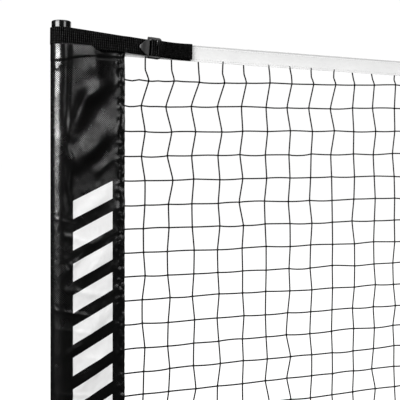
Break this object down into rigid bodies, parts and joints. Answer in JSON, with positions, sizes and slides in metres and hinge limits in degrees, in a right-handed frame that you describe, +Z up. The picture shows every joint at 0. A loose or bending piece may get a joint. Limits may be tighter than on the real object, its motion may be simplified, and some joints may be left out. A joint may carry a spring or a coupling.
{
  "type": "portable court net",
  "caption": "Freestanding court net: floor feet joined by tube rails, two uprights, centre post, and a mesh net with white top tape strapped to the uprights.",
  "frame": {"origin": "on the floor, midway between the uprights and between the front and back of the feet", "axes": "+X along the net towards the right upright, -Y towards the front, where the buckles are, +Z up"},
  "size_m": [6.745, 0.65, 0.936],
  "materials": {
    "black_tube": "gloss",
    "black_plastic": "gloss",
    "black_rubber": "matte",
    "buckle_plastic": "satin",
    "black_webbing": "matte",
    "coated_fabric": "satin",
    "white_tape": "matte",
    "black_tape": "matte",
    "net_cord": "matte",
    "white_cord": "matte",
    "steel": "satin"
  },
  "bodies": {
    "frame": {"left_foot_bar": "black_tube", "left_foot_caps": "black_rubber", "left_upright_socket": "black_tube", "left_rail_stub": "black_tube", "left_outer_rail": "black_tube", "left_middle_rail": "black_tube", "left_inner_rail": "black_tube", "left_upright": "black_tube", "left_upright_cap": "black_plastic", "left_sleeve": "coated_fabric", "left_top_strap": "black_webbing", "left_top_anchor": "black_webbing", "left_bottom_strap": "black_webbing", "left_bottom_anchor": "black_webbing", "right_foot_bar": "black_tube", "right_foot_caps": "black_rubber", "right_upright_socket": "black_tube", "right_rail_stub": "black_tube", "right_outer_rail": "black_tube", "right_middle_rail": "black_tube", "right_inner_rail": "black_tube", "right_upright": "black_tube", "right_upright_cap": "black_plastic", "right_sleeve": "coated_fabric", "right_top_strap": "black_webbing", "right_top_anchor": "black_webbing", "right_bottom_strap": "black_webbing", "right_bottom_anchor": "black_webbing", "center_foot_bar": "black_tube", "center_foot_caps": "black_rubber", "center_post_socket": "black_tube", "center_rail_sockets": "black_tube", "center_post": "black_tube", "center_post_cap": "black_plastic", "rail_button_springs": "steel", "post_button_springs": "steel", "net_mesh": "net_cord", "top_tape": "white_tape", "bottom_tape": "black_tape", "headline_cord": "white_cord", "footline_cord": "white_cord", "center_strap": "white_tape", "center_post_loops": "black_webbing"},
    "left_foot_rail_button": {"left_foot_rail_button": "steel"},
    "left_outer_rail_button": {"left_outer_rail_button": "steel"},
    "left_middle_rail_button": {"left_middle_rail_button": "steel"},
    "left_inner_rail_button": {"left_inner_rail_button": "steel"},
    "right_foot_rail_button": {"right_foot_rail_button": "steel"},
    "right_outer_rail_button": {"right_outer_rail_button": "steel"},
    "right_middle_rail_button": {"right_middle_rail_button": "steel"},
    "right_inner_rail_button": {"right_inner_rail_button": "steel"},
    "left_upright_button": {"left_upright_button": "steel"},
    "right_upright_button": {"right_upright_button": "steel"},
    "center_post_button": {"center_post_button": "steel"},
    "left_top_buckle": {"left_top_buckle": "buckle_plastic"},
    "left_bottom_buckle": {"left_bottom_buckle": "buckle_plastic"},
    "right_top_buckle": {"right_top_buckle": "buckle_plastic"},
    "right_bottom_buckle": {"right_bottom_buckle": "buckle_plastic"}
  },
  "joints": [
    {"name": "left_foot_rail_button_press", "type": "slide", "parent": "frame", "child": "left_foot_rail_button", "axis": [0, 0, -1], "range_m": [0, 0.0056], "stiffness_N_per_m": 1500, "springref_m": -0.002},
    {"name": "left_outer_rail_button_press", "type": "slide", "parent": "frame", "child": "left_outer_rail_button", "axis": [0, 0, -1], "range_m": [0, 0.0056], "stiffness_N_per_m": 1500, "springref_m": -0.002},
    {"name": "left_middle_rail_button_press", "type": "slide", "parent": "frame", "child": "left_middle_rail_button", "axis": [0, 0, -1], "range_m": [0, 0.0056], "stiffness_N_per_m": 1500, "springref_m": -0.002},
    {"name": "left_inner_rail_button_press", "type": "slide", "parent": "frame", "child": "left_inner_rail_button", "axis": [0, 0, -1], "range_m": [0, 0.0056], "stiffness_N_per_m": 1500, "springref_m": -0.002},
    {"name": "right_foot_rail_button_press", "type": "slide", "parent": "frame", "child": "right_foot_rail_button", "axis": [0, 0, -1], "range_m": [0, 0.0056], "stiffness_N_per_m": 1500, "springref_m": -0.002},
    {"name": "right_outer_rail_button_press", "type": "slide", "parent": "frame", "child": "right_outer_rail_button", "axis": [0, 0, -1], "range_m": [0, 0.0056], "stiffness_N_per_m": 1500, "springref_m": -0.002},
    {"name": "right_middle_rail_button_press", "type": "slide", "parent": "frame", "child": "right_middle_rail_button", "axis": [0, 0, -1], "range_m": [0, 0.0056], "stiffness_N_per_m": 1500, "springref_m": -0.002},
    {"name": "right_inner_rail_button_press", "type": "slide", "parent": "frame", "child": "right_inner_rail_button", "axis": [0, 0, -1], "range_m": [0, 0.0056], "stiffness_N_per_m": 1500, "springref_m": -0.002},
    {"name": "left_upright_button_press", "type": "slide", "parent": "frame", "child": "left_upright_button", "axis": [0, 1, 0], "range_m": [0, 0.0064], "stiffness_N_per_m": 1500, "springref_m": -0.002},
    {"name": "right_upright_button_press", "type": "slide", "parent": "frame", "child": "right_upright_button", "axis": [0, 1, 0], "range_m": [0, 0.0064], "stiffness_N_per_m": 1500, "springref_m": -0.002},
    {"name": "center_post_button_press", "type": "slide", "parent": "frame", "child": "center_post_button", "axis": [0, -1, 0], "range_m": [0, 0.0064], "stiffness_N_per_m": 1500, "springref_m": -0.002},
    {"name": "left_top_buckle_tilt", "type": "hinge", "parent": "frame", "child": "left_top_buckle", "pos_m": [-3.20442, -0.0089, 0.90203], "axis": [0.075, 0, 0.9972], "range_deg": [0, 35], "stiffness_Nm_per_rad": 0.05, "springref_deg": -5.73, "deforming": ["left_top_strap"]},
    {"name": "left_bottom_buckle_tilt", "type": "hinge", "parent": "frame", "child": "left_bottom_buckle", "pos_m": [-3.20499, -0.0089, 0.15663], "axis": [-0.1149, 0, 0.9934], "range_deg": [0, 35], "stiffness_Nm_per_rad": 0.05, "springref_deg": -5.73, "deforming": ["left_bottom_strap"]},
    {"name": "right_top_buckle_tilt", "type": "hinge", "parent": "frame", "child": "right_top_buckle", "pos_m": [3.20442, -0.0089, 0.90203], "axis": [0.075, 0, -0.9972], "range_deg": [0, 35], "stiffness_Nm_per_rad": 0.05, "springref_deg": -5.73, "deforming": ["right_top_strap"]},
    {"name": "right_bottom_buckle_tilt", "type": "hinge", "parent": "frame", "child": "right_bottom_buckle", "pos_m": [3.20499, -0.0089, 0.15663], "axis": [-0.1149, 0, -0.9934], "range_deg": [0, 35], "stiffness_Nm_per_rad": 0.05, "springref_deg": -5.73, "deforming": ["right_bottom_strap"]}
  ]
}
